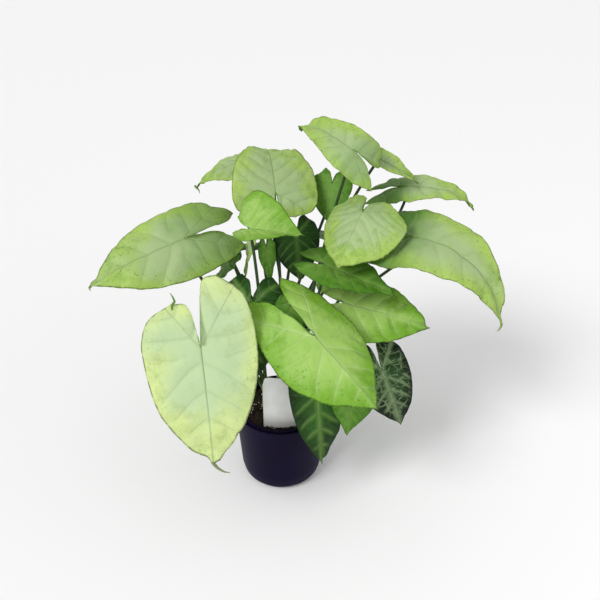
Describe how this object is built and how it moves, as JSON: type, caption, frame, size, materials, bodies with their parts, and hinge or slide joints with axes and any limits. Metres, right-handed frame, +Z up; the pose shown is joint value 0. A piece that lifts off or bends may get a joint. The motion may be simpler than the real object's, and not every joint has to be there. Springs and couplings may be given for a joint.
{
  "type": "arrowhead plant in a nursery pot",
  "caption": "Arrowhead plant with pale, lime and dark green arrow-shaped leaves on long stalks, in a round dark nursery pot with a blank white tag.",
  "frame": {"origin": "middle of the pot's flat underside, where it stands on a surface", "axes": "+Z up along the pot's axis; -Y is the side the picture looks from; +X is to the right of the picture"},
  "size_m": [0.4114, 0.2875, 0.4164],
  "materials": {
    "pot_plastic": "semi-matt dark indigo nursery plastic",
    "potting_soil": "dark damp peat and bark with white perlite",
    "tag_plastic": "plain white",
    "stalk": "smooth fresh green stalk",
    "leaf_palest": "soft sheen, cream green",
    "leaf_pale": "soft sheen, grey green with speckled edge",
    "leaf_lime": "soft sheen, bright lime green",
    "leaf_green": "soft sheen, mid green",
    "leaf_dark": "soft sheen, dark green with pale veins",
    "leaf_silver": "dark green with a silver net of veins"
  },
  "bodies": {
    "root": {"pot": "pot_plastic", "soil": "potting_soil", "tag": "tag_plastic", "shoot_left": "stalk", "shoot_front": "stalk", "shoot_right": "stalk", "shoot_back": "stalk", "blade_far_left": "leaf_pale", "blade_back_left": "leaf_pale", "blade_upper_middle": "leaf_pale", "blade_small_bright": "leaf_lime", "blade_top": "leaf_pale", "blade_upper_right": "leaf_pale", "blade_far_right": "leaf_pale", "blade_middle_right": "leaf_pale", "blade_below_middle": "leaf_green", "blade_right_bright": "leaf_lime", "blade_front_bright": "leaf_lime", "blade_front_left": "leaf_palest", "blade_dark_left": "leaf_dark", "blade_over_rim": "leaf_dark", "blade_over_rim_small": "leaf_green", "blade_silver_veined": "leaf_silver", "blade_inner_left": "leaf_green", "blade_pale_strip": "leaf_pale", "blade_old_hanging": "leaf_green", "blade_behind_middle": "leaf_green", "blade_inside_right": "leaf_dark", "blade_behind_front": "leaf_green", "blade_olive_low": "leaf_green", "blade_rolled_back": "leaf_pale", "blade_rear_left": "leaf_dark", "blade_rear_right": "leaf_green", "blade_rear_low": "leaf_dark"}
  },
  "joints": []
}
